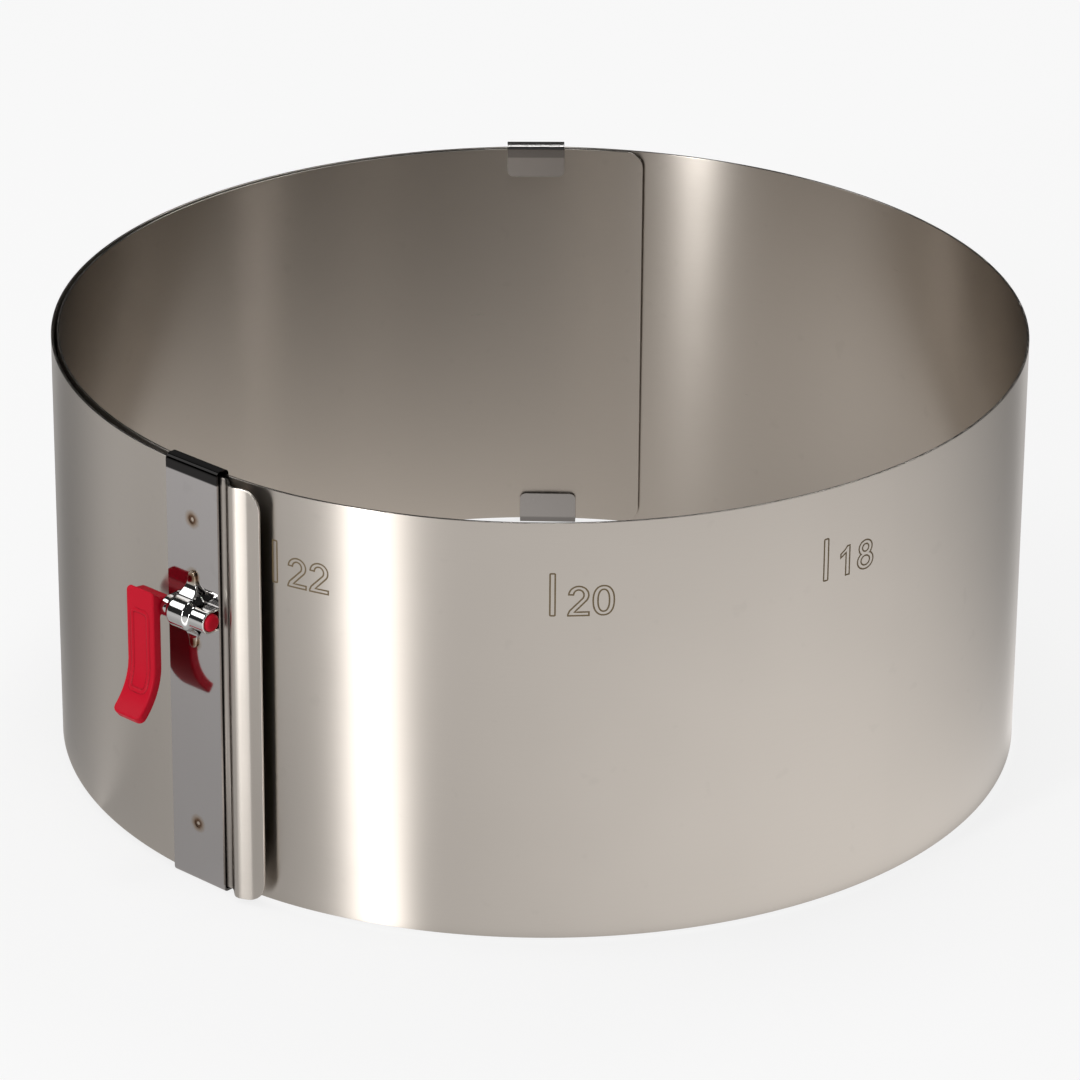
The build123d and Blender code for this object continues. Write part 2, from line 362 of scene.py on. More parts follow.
def measured(tree, where, direction, start):
    """How far a place lies from the start in a direction."""
    reach = calculate_vector(tree, "DOT_PRODUCT", where, direction)["Value"]
    return calculate(tree, "SUBTRACT", reach, float(start @ direction))


# Materials

def new_material(name):
    """Material with its node tree and its surface shader."""
    material = bpy.data.materials.new(name)
    material.use_nodes = True
    return material, material.node_tree, material.node_tree.nodes["Principled BSDF"]


def steel(name, colour, roughness, anisotropy=0.0, on_strip=False):
    """Bright rolled steel with fine grain and faint smudges of handling."""
    material, tree, shader = new_material(name)
    where = strip_place(tree) if on_strip else object_place(tree)
    grain = noise(tree, where, strip_grain if on_strip else sheet_grain, grain_detail)
    smudge = noise(tree, where, smudge_grain, smudge_detail)
    spot = fade(tree, noise(tree, where, spot_grain, spot_detail), *spot_fade, 0.0, 1.0)
    rough = varied(tree, roughness, roughness * grain_spread, grain)
    rough = calculate(tree, "ADD", rough, varied(tree, 0.0, roughness * smudge_spread, smudge))
    tree.links.new(rough, shader.inputs["Roughness"])
    tone = calculate(tree, "SUBTRACT", varied(tree, 1.0, tone_spread, smudge),
                     calculate(tree, "MULTIPLY", spot, spot_depth))
    tone = calculate(tree, "MULTIPLY", tone, varied(tree, 1.0, tone_spread, grain))
    tree.links.new(tinted(tree, colour, tone), shader.inputs["Base Color"])
    shader.inputs["Metallic"].default_value = 1.0
    shader.inputs["Anisotropic"].default_value = anisotropy
    upright = tree.nodes.new("ShaderNodeCombineXYZ")
    upright.inputs["Z"].default_value = 1.0
    tree.links.new(upright.outputs[0], shader.inputs["Tangent"])
    return material


def plastic(name, colour, gloss):
    """Moulded plastic with a soft gloss, painted shade in its creases and the fine unevenness of its
    mould.
    """
    material, tree, shader = new_material(name)
    skin = noise(tree, object_place(tree), mould_grain, mould_detail)
    rough = varied(tree, mould_roughness, mould_roughness_spread, skin)
    tree.links.new(rough, shader.inputs["Roughness"])
    pointiness = tree.nodes.new("ShaderNodeNewGeometry").outputs["Pointiness"]
    # Painted shade in the creases, where the skin bends inward sharply
    painted_crease = fade(tree, pointiness, *painted_crease_fade, painted_crease_shade, 1.0)
    tone = calculate(tree, "MULTIPLY", varied(tree, 1.0, mould_tone_spread, skin), painted_crease)
    tree.links.new(tinted(tree, colour, tone), shader.inputs["Base Color"])
    bump = tree.nodes.new("ShaderNodeBump")
    bump.inputs["Strength"].default_value = mould_bump
    bump.inputs["Distance"].default_value = mould_bump_depth
    tree.links.new(skin, bump.inputs["Height"])
    tree.links.new(bump.outputs[0], shader.inputs["Normal"])
    shader.inputs["Specular IOR Level"].default_value = gloss
    return material


def weld_tint(tree):
    """Rings of heat colour round the spot welds."""
    where = object_place(tree)
    nearest = None
    for height in weld_heights:
        weld = on_plate(0.0, strip_low + height - axle_place[2], 0.0)
        gap = calculate_vector(tree, "DISTANCE", where, weld)["Value"]
        nearest = calculate(tree, "MINIMUM", nearest, gap) if nearest else gap
    wobble = varied(tree, 0.0, weld_wobble, noise(tree, where, weld_grain, weld_detail))
    share = calculate(tree, "DIVIDE", calculate(tree, "ADD", nearest, wobble), weld_reach)
    ramp = tree.nodes.new("ShaderNodeValToRGB")
    tree.links.new(share, ramp.inputs[0])
    stops = ramp.color_ramp.elements
    stops.remove(stops[-1])
    for number, (position, colour) in enumerate(weld_colours):
        stop = stops.new(position) if number else stops[0]
        stop.position = position
        stop.color = (*colour, 1.0)
    return ramp.outputs[0]


def hook_tint(tree):
    """Painted shade where the plate is bent over the strip's upper edge, painted light on the hook's
    crown, and painted shade on the plate's sheared sides.
    """
    where = object_place(tree)
    above = calculate(tree, "ADD", split(tree, where)[2], -strip_high)
    # Painted shade on the hook's foot and bend, and painted light on its crown
    fades = ((hook_foot, hook_foot_painted_shade), (hook_bend, hook_bend_painted_shade), (hook_crown, hook_crown_painted_light))
    bent = product(tree, *(fade(tree, above, *heights, 1.0, shade) for heights, shade in fades))
    aside = calculate(tree, "ABSOLUTE", measured(tree, where, along_plate, axle_place))
    depth = measured(tree, where, off_plate, on_plate(0.0, 0.0, 0.0))
    depth = calculate(tree, "ADD", depth, plate_depth)
    # Painted shade on the plate's sheared sides, darkest next to the strip
    side_painted_shade = fade(tree, depth, *plate_edge_depth, plate_edge_painted_shade, plate_edge_front_painted_shade)
    on_side = fade(tree, aside, *plate_edge_fade, 0.0, 1.0)
    sheared = calculate(tree, "MULTIPLY_ADD", on_side, calculate(tree, "ADD", side_painted_shade, -1.0), 1.0)
    return calculate(tree, "MULTIPLY", bent, sheared)


def clip_tint(tree):
    """Painted shade in the bends of the guide clips, and painted tone that is darker towards the floor
    and lighter above.
    """
    up = split(tree, object_place(tree))[2]
    # Painted tone from bottom to top, and painted shade in both bends
    tone = fade(tree, up, *clip_heights, *clip_painted_shades)
    upper = fade(tree, up, *(strip_high + height for height in hook_foot), 1.0, clip_bend_painted_shade)
    lower = fade(tree, up, *(strip_low + height for height in clip_foot), clip_bend_painted_shade, 1.0)
    return product(tree, tone, upper, lower)


def rim_tint(tree):
    """Painted shade on the flat top of the strip's sheared upper edge."""
    # Painted shade on the flat top of the upper edge
    above = calculate(tree, "ADD", split(tree, strip_place(tree))[1], -strip_high)
    return fade(tree, above, *rim_fade, 1.0, rim_painted_tone)


def retint(material, tint):
    """Multiply a material's colour by a tint."""
    tree = material.node_tree
    socket = tree.nodes["Principled BSDF"].inputs["Base Color"]
    tree.links.new(tinted(tree, socket.links[0].from_socket, tint(tree)), socket)


strip_steel = steel("strip_steel", (0.605, 0.56, 0.51), roughness=0.29, anisotropy=0.91, on_strip=True)
clamp_steel = steel("clamp_steel", (0.49, 0.47, 0.465), roughness=0.07)
clip_steel = steel("clip_steel", (0.525, 0.51, 0.505), roughness=0.26)
saddle_chrome = steel("saddle_chrome", (0.62, 0.62, 0.61), roughness=0.07)
lever_plastic = plastic("lever_plastic", (0.48, 0.003, 0.018), gloss=0.12)
etched = plastic("scale_etching", (0.15, 0.11, 0.06), gloss=0.2)

# Heat colours round the welds, and painted light and shade on the hook, the clips and the strip's rim
for metal, metal_tint in ((clamp_steel, weld_tint), (saddle_chrome, weld_tint), (clamp_steel, hook_tint),
                          (clip_steel, clip_tint), (strip_steel, rim_tint)):
    retint(metal, metal_tint)


# Line of the strip

def smoothstep(value):
    """Smooth rise from 0 to 1."""
    value = np.clip(value, 0.0, 1.0)
    return value * value * (3.0 - 2.0 * value)


def sag(angle):
    """How far the inner layer lies inward of its even spiral beside the clamp."""
    rise = smoothstep((sag_start - angle) / (sag_start - sag_peak))
    fall = smoothstep((angle - sag_end) / (sag_peak - sag_end))
    return sag_depth * rise * fall


def lip_line(point, heading):
    """Points of the lip's middle line, from the held strip to the lip's edge."""
    lip = []
    for length, curvature in lip_bends:
        step = length / lip_steps
        for _ in range(lip_steps):
            heading += curvature * step / 2
            point = point + step * np.array([math.cos(heading), math.sin(heading)])
            heading += curvature * step / 2
            lip.append(point)
    return lip


def middle_line():
    """Middle line from the lip's edge to the inner end: lengths, points, outward normals and angles."""
    angles = np.unwrap(np.arctan2(hinges[:, 1], hinges[:, 0]))
    angles += math.tau * round((first_hinge_azimuth - angles[0]) / math.tau)
    radii = np.hypot(hinges[:, 0], hinges[:, 1])
    start = angles[0] + (lead_length - lip_reach) / radii[0]
    end = angles[-1] - tail_length / radii[-1]
    turned = np.append(np.arange(start, end, -line_turn_step), end)
    radius = np.interp(-turned, -angles, radii) - sag(turned)
    points = np.stack([radius * np.cos(turned), radius * np.sin(turned)], 1)
    tangent = points[0] - points[1]
    lip = lip_line(points[0], math.atan2(tangent[1], tangent[0]))
    points = np.concatenate([np.array(lip[::-1]), points])
    lengths = np.concatenate([[0.0], np.cumsum(np.hypot(*np.diff(points, axis=0).T))])
    along = np.gradient(points, lengths, axis=0)
    along /= np.linalg.norm(along, axis=1)[:, None]
    outward = np.stack([-along[:, 1], along[:, 0]], 1)
    return lengths, points, outward, np.concatenate([np.full(len(lip), turned[0]), turned])


line_lengths, line_points, line_outward, line_angles = middle_line()
strip_length = line_lengths[-1]


def normal_at(along):
    """Outward unit normals in the plan."""
    normal = np.stack([np.interp(along, line_lengths, line_outward[:, axis]) for axis in (0, 1)], -1)
    return normal / np.linalg.norm(normal, axis=-1, keepdims=True)


def place(along, outward, up):
    """Points of the frame for lengths along the strip, distances outward of its middle and heights."""
    point = np.stack([np.interp(along, line_lengths, line_points[:, axis]) for axis in (0, 1)], -1)
    flat = point + normal_at(along) * np.asarray(outward)[..., None]
    return np.concatenate([flat, np.asarray(up)[..., None]], -1)


def hinge_lengths():
    """Length along the strip of each hinge, found near where the arc before it should end."""
    found = []
    arc_length = (strip_length - lead_length - tail_length) / (len(bodies) - 2)
    expected = lead_length - lip_reach + lip_length
    for hinge in hinges:
        gap = np.hypot(line_points[:, 0] - hinge[0], line_points[:, 1] - hinge[1])
        gap[np.abs(line_lengths - expected) >= lead_length] = math.inf
        found.append(line_lengths[int(np.argmin(gap))])
        expected = found[-1] + arc_length
    return found


# Skin of the strip

def rim_section():
    """Section of the upper rim, outer face first: inset, distance outward and the normal's two parts."""
    half = strip_thickness / 2
    turns = np.linspace(0.0, math.pi / 2, rim_steps + 1)
    section = []
    for side, order in ((1.0, turns), (-1.0, turns[::-1])):
        for turn in order:
            inset = -rim_rounding * (1.0 - math.sin(turn))
            out = side * (half - rim_rounding * (1.0 - math.cos(turn)))
            section.append((inset, out, math.sin(turn), side * math.cos(turn)))
    return section


def round_corner(radius):
    """Upper round corner of a free end: length past its start, height and outline normal."""
    turns = np.linspace(0.0, math.pi / 2, corner_steps + 1)[1:]
    return [(radius * math.sin(turn), strip_high - radius * (1 - math.cos(turn)),
             math.sin(turn), math.cos(turn)) for turn in turns]


def stations(start, end):
    """Outline of the upper edge: length, height and outline normal, with round corners at free ends."""
    count = max(2, math.ceil((end - start) / column_step) + 1)
    first = start + (lip_corner_radius if start <= 0.0 else 0.0)
    last = end - (free_corner_radius if end >= strip_length else 0.0)
    rows = [(along, strip_high, 0.0, 1.0) for along in np.linspace(first, last, count)]
    if start <= 0.0:
        corner = round_corner(lip_corner_radius)[::-1]
        rows = [(first - along, up, -lean, rise) for along, up, lean, rise in corner] + rows
    if end >= strip_length:
        corner = round_corner(free_corner_radius)
        rows += [(last + along, up, lean, rise) for along, up, lean, rise in corner]
    return rows


def skin_loops(rows, section):
    """Loops round the strip, one for each row: places and normals as length, outward and height."""
    flat, normals = [], []
    for along, up, lean, rise in rows:
        loop = []
        for inset, out, edge, face in section:
            spot = (along + lean * inset, out, up + rise * inset)
            loop.append((spot, (lean * edge, face, rise * edge)))
        for (at, out, height), (lengthwise, across, upward) in loop[::-1]:
            loop.append(((at, out, strip_low + strip_high - height), (lengthwise, across, -upward)))
        flat += [spot for spot, _ in loop]
        normals += [normal for _, normal in loop]
    return np.array(flat), np.array(normals)


def skin_faces(row_count, around, free_start, free_end):
    """Faces round the strip and at its two ends; a free end keeps round edges, a joined one is flat."""
    faces, flat_ends = [], []
    for row in range(row_count - 1):
        for step in range(around):
            here, there = row * around + step, row * around + (step + 1) % around
            faces.append((here, there, there + around, here + around))
    for row, free in ((0, free_start), (row_count - 1, free_end)):
        base = row * around
        end = [tuple(range(base, base + around))]
        if free:
            end = [(base + step, base + step + 1, base + around - 2 - step, base + around - 1 - step)
                   for step in range(around // 2 - 1)]
        else:
            flat_ends.append(len(faces))
        faces += [corners if row else corners[::-1] for corners in end]
    return faces, flat_ends


def strip_piece(name, start, end):
    """Closed piece of the strip between two lengths along it."""
    rows, section = stations(start, end), rim_section()
    flat, normals = skin_loops(rows, section)
    outward = normal_at(flat[:, 0])
    clockwise = np.stack([outward[:, 1], -outward[:, 0]], 1)
    turned = clockwise * normals[:, :1] + outward * normals[:, 1:2]
    turned = np.concatenate([turned, normals[:, 2:]], 1)
    faces, flat_ends = skin_faces(len(rows), 2 * len(section), start <= 0.0, end >= strip_length)
    smooth_normals = []
    for number, corners in enumerate(faces):
        if number in flat_ends:
            away = clockwise[min(corners)] * (-1.0 if min(corners) == 0 else 1.0)
            smooth_normals += [(away[0], away[1], 0.0)] * len(corners)
        else:
            smooth_normals += [tuple(turned[corner]) for corner in corners]
    mesh = bpy.data.meshes.new(name)
    mesh.from_pydata(place(*flat.T).tolist(), [], faces)
    uv = mesh.uv_layers.new(name="strip")
    for loop in mesh.loops:
        uv.data[loop.index].uv = (flat[loop.vertex_index, 0], flat[loop.vertex_index, 2])
    mesh.shade_smooth()
    mesh.normals_split_custom_set(smooth_normals)
    mesh.materials.append(strip_steel)
    piece = placed(name, mesh)
    return piece


def bend_across(piece):
    """Fix the piece's place into its mesh; it is not made to follow the bodies."""
    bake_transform(piece)


def strip_spans():
    """Number of the first body, start and end of each span, and where its bend starts and ends."""
    hinge_at = hinge_lengths()
    borders = [clamp_reach]
    borders += [(here + there) / 2 for here, there in zip(hinge_at, hinge_at[1:])]
    borders += [strip_length - clip_reach]
    spans = []
    for number, (start, end) in enumerate(zip(borders, borders[1:])):
        bend_start, bend_end = start, end
        if number == 0:
            bend_end = 2 * hinge_at[0] - clamp_reach
        if number == len(borders) - 2:
            bend_start = hinge_at[-1] - tail_bend_reach
        spans.append((number, start, end, bend_start, bend_end))
    return spans


def make_strip():
    """The strip: its held outer end, its spans with their part of the scale, and its held inner end."""
    piece = strip_piece("strip_outer_end", 0.0, clamp_reach)
    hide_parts("band_01")
    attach(piece, bodies[0])
    outlines = scale_outlines()
    for number, start, end, bend_start, bend_end in strip_spans():
        piece = strip_piece(f"strip_span_{number + 1:02d}", start, end)
        if number + 2 < len(bodies):
            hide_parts(f"band_{number + 2:02d}")
        bend_across(piece)
        lines = scale_piece(f"scale_{number + 1:02d}", outlines, start, end)
        if lines:
            bend_across(lines)
    piece = strip_piece("strip_inner_end", strip_length - clip_reach, strip_length)
    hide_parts(f"band_{len(bodies):02d}")
    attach(piece, bodies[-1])


# Editing of meshes

def bridge(sheet, here, there):
    """Faces between two rings of corners."""
    for step in range(len(here)):
        following = (step + 1) % len(here)
        sheet.faces.new((here[step], here[following], there[following], there[step]))


def cut(sheet, point, normal, keep_ahead=False):
    """Cut a mesh at a plane, keep what lies behind the plane or ahead of it, and close it there."""
    spots = sheet.verts[:] + sheet.edges[:] + sheet.faces[:]
    found = bmesh.ops.bisect_plane(sheet, geom=spots, plane_co=point, plane_no=normal,
                                   clear_inner=keep_ahead, clear_outer=not keep_ahead)
    edges = [part for part in found["geom_cut"] if isinstance(part, bmesh.types.BMEdge)]
    bmesh.ops.holes_fill(sheet, edges=edges)


def finished(sheet, name):
    """The mesh that was edited, under a name."""
    mesh = bpy.data.meshes.new(name)
    sheet.to_mesh(mesh)
    sheet.free()
    return mesh


# Scale

def arc(x, y, width, height, start, end, fullness=1.0):
    """Points of an oval's arc between two angles in degrees; a lower fullness makes it squarer."""
    turns = np.radians(np.linspace(start, end, math.ceil(abs(end - start) / arc_step) + 1))
    reach = [(math.copysign(abs(math.cos(turn)) ** fullness, math.cos(turn)),
              math.copysign(abs(math.sin(turn)) ** fullness, math.sin(turn))) for turn in turns]
    return [(x + width * along, y + height * up) for along, up in reach]


def oval(x, y, width, height, fullness=1.0):
    """Closed oval."""
    return arc(x, y, width, height, 0.0, 360.0, fullness)[:-1]


# Outlines of the figures, on a square grid that is ten units high
figures = {
    "0": (oval(3.13, 5.0, 3.13, 5.0, zero_fullness), oval(3.13, 5.0, 1.71, 3.75, zero_fullness)),
    "1": ([(2.9, 0.0), (4.3, 0.0), (4.3, 10.0), (3.4, 10.0), (2.4, 8.8), (0.9, 7.7), (0.9, 6.4),
           (2.9, 7.8)],),
    "2": (arc(3.15, 7.0, 2.95, 3.0, 176.0, -38.0) + [(1.9, 1.2), (6.2, 1.2), (6.2, 0.0), (0.0, 0.0),
          (0.0, 0.45), (0.5, 1.7)] + arc(3.15, 7.0, 1.55, 1.8, -38.0, 176.0),),
    "3": (arc(3.0, 7.35, 2.6, 2.65, 176.0, -50.0) + arc(3.05, 2.8, 3.05, 2.8, 55.0, -176.0)
          + arc(3.05, 2.8, 1.65, 1.6, -176.0, 70.0) + [(2.3, 4.5), (2.3, 5.7)]
          + arc(3.0, 7.35, 1.25, 1.4, -70.0, 176.0),),
    "4": ([(3.9, 0.0), (5.3, 0.0), (5.3, 2.3), (6.5, 2.3), (6.5, 3.5), (5.3, 3.5), (5.3, 10.0),
           (4.2, 10.0), (0.0, 3.6), (0.0, 2.3), (3.9, 2.3)], [(3.9, 3.5), (3.9, 8.0), (1.0, 3.5)]),
    "6": (arc(3.4, 5.0, 3.25, 5.0, 180.0, 35.0) + arc(3.4, 5.0, 1.85, 3.75, 42.0, 150.0)
          + arc(3.2, 3.1, 3.05, 3.1, 115.0, -176.0), oval(3.2, 3.1, 1.65, 1.85)),
    "8": (arc(3.13, 7.35, 2.6, 2.65, -50.7, 230.7) + arc(3.13, 2.95, 3.1, 2.95, 127.2, 412.8),
          oval(3.13, 7.35, 1.25, 1.3), oval(3.13, 2.95, 1.7, 1.65)),
}


def even(outline):
    """The same closed outline without points that nearly coincide and without long straight steps."""
    kept = []
    for point in outline:
        if not kept or math.dist(point, kept[-1]) > least_line_step:
            kept.append(point)
    while math.dist(kept[0], kept[-1]) <= least_line_step:
        kept.pop()
    fine = []
    for here, there in zip(kept, kept[1:] + kept[:1]):
        count = math.ceil(math.dist(here, there) / line_step)
        fine += [tuple(a + (b - a) * step / count for a, b in zip(here, there)) for step in range(count)]
    return fine


def mark_outline():
    """Outline of one mark, an upright bar with round corners: to the right of its left edge, and up."""
    left, right = mark_corner, mark_width - mark_corner
    low, high = mark_low + mark_corner, mark_high - mark_corner
    corners = ((right, high, 90.0), (right, low, 0.0), (left, low, -90.0), (left, high, -180.0))
    return [point for x, y, turn in corners
            for point in arc(x, y, mark_corner, mark_corner, turn, turn - 90.0)]


def figure_outlines(number):
    """Outlines of a number's figures, to the right of its mark's left edge, and up."""
    outlines = []
    for place_number, digit in enumerate(str(number)):
        start = figure_start + place_number * figure_advance
        for outline in figures[digit]:
            outlines.append([(start + x * figure_unit_along, figure_low + y * figure_unit_up)
                             for x, y in outline])
    return outlines


def scale_outlines():
    """Outlines of all marks and figures as lengths along the strip and heights."""
    outlines = []
    for step, number in enumerate(mark_numbers):
        angle = first_mark_angle - step * mark_spacing
        left = float(np.interp(-angle, -line_angles, line_lengths))
        outlines += [[(left - x, strip_low + y) for x, y in even(outline)]
                     for outline in [mark_outline()] + figure_outlines(number)]
    return outlines


def line_band(sheet, outline):
    """Closed ridge of the scale's line width along an outline, flat in length, outward and height."""
    spots = np.array(outline)
    ahead = np.roll(spots, -1, axis=0) - spots
    ahead /= np.linalg.norm(ahead, axis=1)[:, None]
    side = np.stack([-ahead[:, 1], ahead[:, 0]], 1)
    mitre = side + np.roll(side, 1, axis=0)
    mitre /= np.maximum((mitre * mitre).sum(1) / 2, sharpest_mitre)[:, None]
    top, bottom = strip_thickness / 2 + line_proud, strip_thickness / 2 - line_sunk
    rings = []
    for share, out in ((1.0, top), (-1.0, top), (-1.0, bottom), (1.0, bottom)):
        edge = spots + mitre * share * line_width / 2
        rings.append([sheet.verts.new((along, out, up)) for along, up in edge])
    for here, there in zip(rings, rings[1:] + rings[:1]):
        bridge(sheet, here, there)


def scale_piece(name, outlines, start, end):
    """The scale's lines between two lengths along the strip, or nothing where there are none."""
    sheet = bmesh.new()
    for outline in outlines:
        reach = [along for along, _ in outline]
        if max(reach) + line_width > start and min(reach) - line_width < end:
            line_band(sheet, outline)
    for along, keep_ahead in ((start, True), (end, False)):
        if sheet.verts:
            cut(sheet, (along, 0.0, 0.0), (1.0, 0.0, 0.0), keep_ahead)
    if not sheet.faces:
        sheet.free()
        return None
    flat = np.array([vertex.co for vertex in sheet.verts])
    for vertex, point in zip(sheet.verts, place(*flat.T)):
        vertex.co = point
    bmesh.ops.recalc_face_normals(sheet, faces=sheet.faces)
    if sheet.calc_volume(signed=True) < 0.0:
        bmesh.ops.reverse_faces(sheet, faces=sheet.faces)
    mesh = finished(sheet, name)
    mesh.materials.append(etched)
    piece = placed(name, mesh)
    return piece


# Saddle and lever

def loft(sheet, rings):
    """Closed body through rings of points with equal counts."""
    rows = [[sheet.verts.new(point) for point in ring] for ring in rings]
    for here, there in zip(rows, rows[1:]):
        bridge(sheet, here, there)
    sheet.faces.new(rows[0][::-1])
    sheet.faces.new(rows[-1])


def tunnel_ring(along):
    """Section of the tunnel sheet at a place along the plate."""
    share = float(smoothstep((collar_slope_end - abs(along)) / (collar_slope_end - collar_half_width)))
    radius = tunnel_radius + (collar_radius - tunnel_radius) * share
    inner = radius - sheet_thickness
    turns = np.linspace(0.0, math.pi, tunnel_columns)
    outside = [(radius * math.cos(turn), axle_stand_off + radius * math.sin(turn)) for turn in turns]
    inside = [(inner * math.cos(turn), axle_stand_off + inner * math.sin(turn)) for turn in turns[::-1]]
    section = [(radius, 0.0)] + outside + [(-radius, 0.0), (-inner, 0.0)] + inside + [(inner, 0.0)]
    return [on_plate(along, up, out) for up, out in section]


def tongue_rings(side):
    """Sections of a tongue from its tip to the collar."""
    rings = []
    heights, widths = np.array(tongue_widths[::-1]).T * MM
    for up in np.linspace(tongue_tip, tongue_root, tongue_rows):
        rise = np.clip((tongue_foot - up) / (tongue_foot - tongue_root), 0.0, 1.0)
        top = sheet_thickness + tongue_rise * rise ** tongue_sweep
        bottom = top - sheet_thickness
        half = float(np.interp(up, heights, widths)) / 2
        corners = ((-half, top), (half, top), (half, bottom), (-half, bottom))
        rings.append([on_plate(along, side * up, out) for along, out in corners])
    return rings


def remeshed(name, source, grain, smoothing, material):
    """The source with one even skin, its edges softened."""
    before = placed(name + "_source", source)
    skin = before.modifiers.new("skin", "REMESH")
    skin.mode = "VOXEL"
    skin.voxel_size = grain
    soften = before.modifiers.new("soften", "SMOOTH")
    soften.factor = smoothing_strength
    soften.iterations = smoothing
    bpy.context.view_layer.update()
    mesh = bpy.data.meshes.new_from_object(before.evaluated_get(bpy.context.evaluated_depsgraph_get()))
    bpy.data.objects.remove(before)
    mesh.name = name
    mesh.shade_smooth()
    mesh.materials.clear()
    mesh.materials.append(material)
    piece = placed(name, mesh)
    return piece


def make_saddle():
    """The pressed saddle that holds the axle."""
    sheet = bmesh.new()
    loft(sheet, [tunnel_ring(along) for along in np.linspace(tunnel_left, tunnel_right, tunnel_rows)])
    for side in (1.0, -1.0):
        loft(sheet, tongue_rings(side))
    bmesh.ops.recalc_face_normals(sheet, faces=sheet.faces)
    mesh = finished(sheet, "saddle_sheet")
    piece = remeshed("saddle", mesh, saddle_grain, saddle_smoothing, saddle_chrome)
    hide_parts("clamp_saddle")
    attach(piece, "clamp_body")


def make_lever():
    """The moulded lever, with the soft edges of a moulding and a round upper corner."""
    node = frame["nodes"]["clamp_lever"]
    sheet = bmesh.new()
    sheet.from_mesh(node.data)
    sheet.transform(node.matrix_world)
    bmesh.ops.remove_doubles(sheet, verts=sheet.verts, dist=merge_distance)
    centre_along, centre_up = handle_side + handle_corner_radius, handle_top - handle_corner_radius
    for turn in np.radians(handle_corner_cuts):
        lean, rise = -math.sin(turn), math.cos(turn)
        touch = on_plate(centre_along + handle_corner_radius * lean,
                         centre_up + handle_corner_radius * rise, 0.0)
        cut(sheet, touch, along_plate * lean + np.array((0.0, 0.0, rise)))
    mesh = finished(sheet, "lever_moulding")
    piece = remeshed("lever", mesh, lever_grain, lever_smoothing, lever_plastic)
    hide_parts("clamp_lever")
    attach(piece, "lever")


def dress(node, material):
    """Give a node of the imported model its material."""
    materials = frame["nodes"][node].data.materials
    materials.clear()
    materials.append(material)


# Floor, surround, lamps and camera

def floor_glow(tree):
    """Painted glow of the floor as the metal sees it, in colour."""
    geometry = tree.nodes.new("ShaderNodeNewGeometry")
    plan = split(tree, geometry.outputs["Position"])[:2]

    def steps(source):
        return [calculate(tree, "SUBTRACT", axis, middle) for axis, middle in zip(plan, source)]

    def along(azimuth, source=(0.0, 0.0)):
        turn = (math.cos(azimuth), math.sin(azimuth))
        parts = [calculate(tree, "MULTIPLY", step, share) for step, share in zip(steps(source), turn)]
        return calculate(tree, "ADD", *parts)

    def distance(source=(0.0, 0.0)):
        lengths = [calculate(tree, "ABSOLUTE", step) for step in steps(source)]
        squares = [calculate(tree, "POWER", length, 2.0) for length in lengths]
        return calculate(tree, "SQRT", calculate(tree, "ADD", *squares))

    def towards(azimuth, sharpness, source=(0.0, 0.0)):
        share = calculate(tree, "DIVIDE", along(azimuth, source), distance(source))
        return calculate(tree, "POWER", calculate(tree, "MAXIMUM", share, 0.0), sharpness)

    # Painted glow: shade near the ring, pools, patches and a streak of light, and a brighter side inside
    # the ring
    radius = distance()
    far_shade = fade(tree, radius, *floor_pool_reach, 1.0, floor_pool_far_share)
    near_shade = fade(tree, radius, *floor_near_reach, floor_near_share, 1.0)
    pool = product(tree, towards(floor_pool_azimuth, floor_pool_sharpness), floor_pool, far_shade)
    left = product(tree, towards(floor_left_azimuth, floor_left_sharpness), floor_left_pool)
    left = calculate(tree, "MULTIPLY", calculate(tree, "ADD", left, floor_base), near_shade)
    for power, azimuth, sharpness, source in floor_patches:
        patch = towards(azimuth, sharpness, source)
        pool = calculate(tree, "MULTIPLY_ADD", patch, power, pool)
    streak = towards(floor_streak_azimuth, floor_streak_sharpness, floor_streak_source)
    streak = calculate(tree, "MULTIPLY", streak, floor_streak)
    outside = calculate(tree, "ADD", calculate(tree, "ADD", pool, streak), left)
    across = along(floor_inside_azimuth)
    inside = calculate(tree, "MULTIPLY_ADD", across, floor_inside_slope, floor_inside)
    outside_share = fade(tree, radius, *ring_edge, 0.0, 1.0)
    inside_share = calculate(tree, "SUBTRACT", 1.0, outside_share)
    glows = (tinted(tree, floor_outside_colour, calculate(tree, "MULTIPLY", outside, outside_share)),
             tinted(tree, floor_inside_colour, calculate(tree, "MULTIPLY", inside, inside_share)))
    return calculate_vector(tree, "ADD", *glows)["Vector"]


def make_stage():
    """Pale floor: white to the eye with the ring's shadow on it, and in the metal a painted glow of
    pools, patches, a streak and shade.
    """
    mesh = bpy.data.meshes.new("floor")
    corners = [(-floor_reach, -floor_reach, 0.0), (floor_reach, -floor_reach, 0.0),
               (floor_reach, floor_reach, 0.0), (-floor_reach, floor_reach, 0.0)]
    mesh.from_pydata(corners, [], [(0, 1, 2, 3)])
    floor = placed("floor", mesh)
    material, tree, shader = new_material("floor_white")
    tree.nodes.remove(shader)
    diffuse = tree.nodes.new("ShaderNodeBsdfDiffuse")
    diffuse.inputs["Color"].default_value = (*floor_colour, 1.0)
    path = tree.nodes.new("ShaderNodeLightPath")
    white_glow, metal_glow = tree.nodes.new("ShaderNodeEmission"), tree.nodes.new("ShaderNodeEmission")
    tree.links.new(floor_glow(tree), metal_glow.inputs["Color"])
    seen = any_of(tree, path.outputs["Is Camera Ray"], path.outputs["Is Transmission Ray"])
    seen = calculate(tree, "MULTIPLY", seen, floor_glow_share)
    surface = mixed(tree, seen, diffuse.outputs[0], white_glow.outputs[0])
    surface = mixed(tree, path.outputs["Is Glossy Ray"], surface, metal_glow.outputs[0])
    tree.links.new(surface, tree.nodes["Material Output"].inputs["Surface"])
    mesh.materials.append(material)


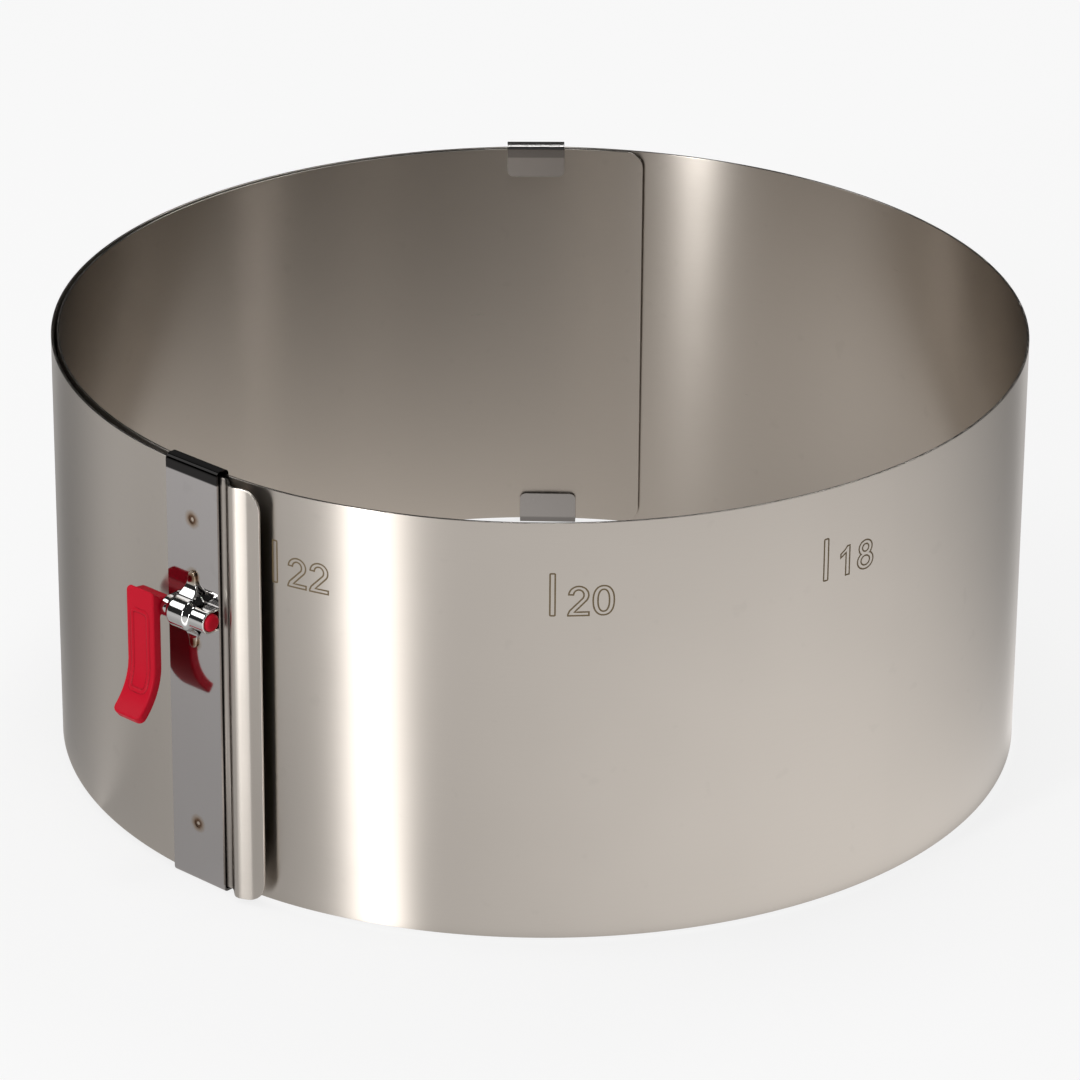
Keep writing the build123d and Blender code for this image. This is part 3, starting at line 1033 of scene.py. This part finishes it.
def make_world():
    """White surround for the camera, a plain one that lights the ring and a dim one for reflections."""
    world = bpy.data.worlds.new("studio")
    bpy.context.scene.world = world
    world.use_nodes = True
    tree = world.node_tree
    path = tree.nodes.new("ShaderNodeLightPath")

    def background(node, colour):
        node.inputs["Color"].default_value = (*colour, 1.0)
        return node.outputs[0]

    surface = background(tree.nodes["Background"], world_fill)
    for kinds, colour in ((("Is Glossy Ray",), world_gloss),
                          (("Is Camera Ray", "Is Transmission Ray"), world_white)):
        share = any_of(tree, *(path.outputs[kind] for kind in kinds))
        other = background(tree.nodes.new("ShaderNodeBackground"), colour)
        surface = mixed(tree, share, surface, other)
    tree.links.new(surface, tree.nodes["World Output"].inputs["Surface"])


def make_camera():
    """Camera at the photograph's place."""
    data = bpy.data.cameras.new("camera")
    data.lens = camera_lens
    data.sensor_width = sensor_width
    camera = placed("camera", data)
    back = Vector((0.0, -math.cos(camera_elevation), math.sin(camera_elevation)))
    tilt = Matrix.Rotation(math.pi / 2 - camera_elevation, 4, "X") @ Matrix.Rotation(camera_roll, 4, "Z")
    camera.matrix_world = Matrix.Translation(camera_target + back * camera_distance) @ tilt
    bpy.context.scene.camera = camera


def soft_box(name, azimuth, elevation, width, height, power):
    """Area lamp that faces the ring."""
    lamp = bpy.data.lights.new(name, "AREA")
    lamp.shape = "RECTANGLE"
    lamp.size, lamp.size_y = width, height
    lamp.energy = power
    obj = placed(name, lamp)
    azimuth, elevation = math.radians(azimuth), math.radians(elevation)
    level = math.cos(elevation)
    away = Vector((math.cos(azimuth) * level, math.sin(azimuth) * level, math.sin(elevation)))
    obj.location = away * lamp_distance + lamp_aim
    obj.rotation_euler = away.to_track_quat("Z", "Y").to_euler()
    obj.visible_camera = False


make_strip()
for node, material in (("clamp_plate", clamp_steel), ("guide_clip_upper", clip_steel),
                       ("guide_clip_lower", clip_steel)):
    dress(node, material)
make_saddle()
make_lever()

make_stage()
make_world()
make_camera()
for lamp in lamps:
    soft_box(*lamp)
bpy.context.scene.view_settings.view_transform = "Standard"
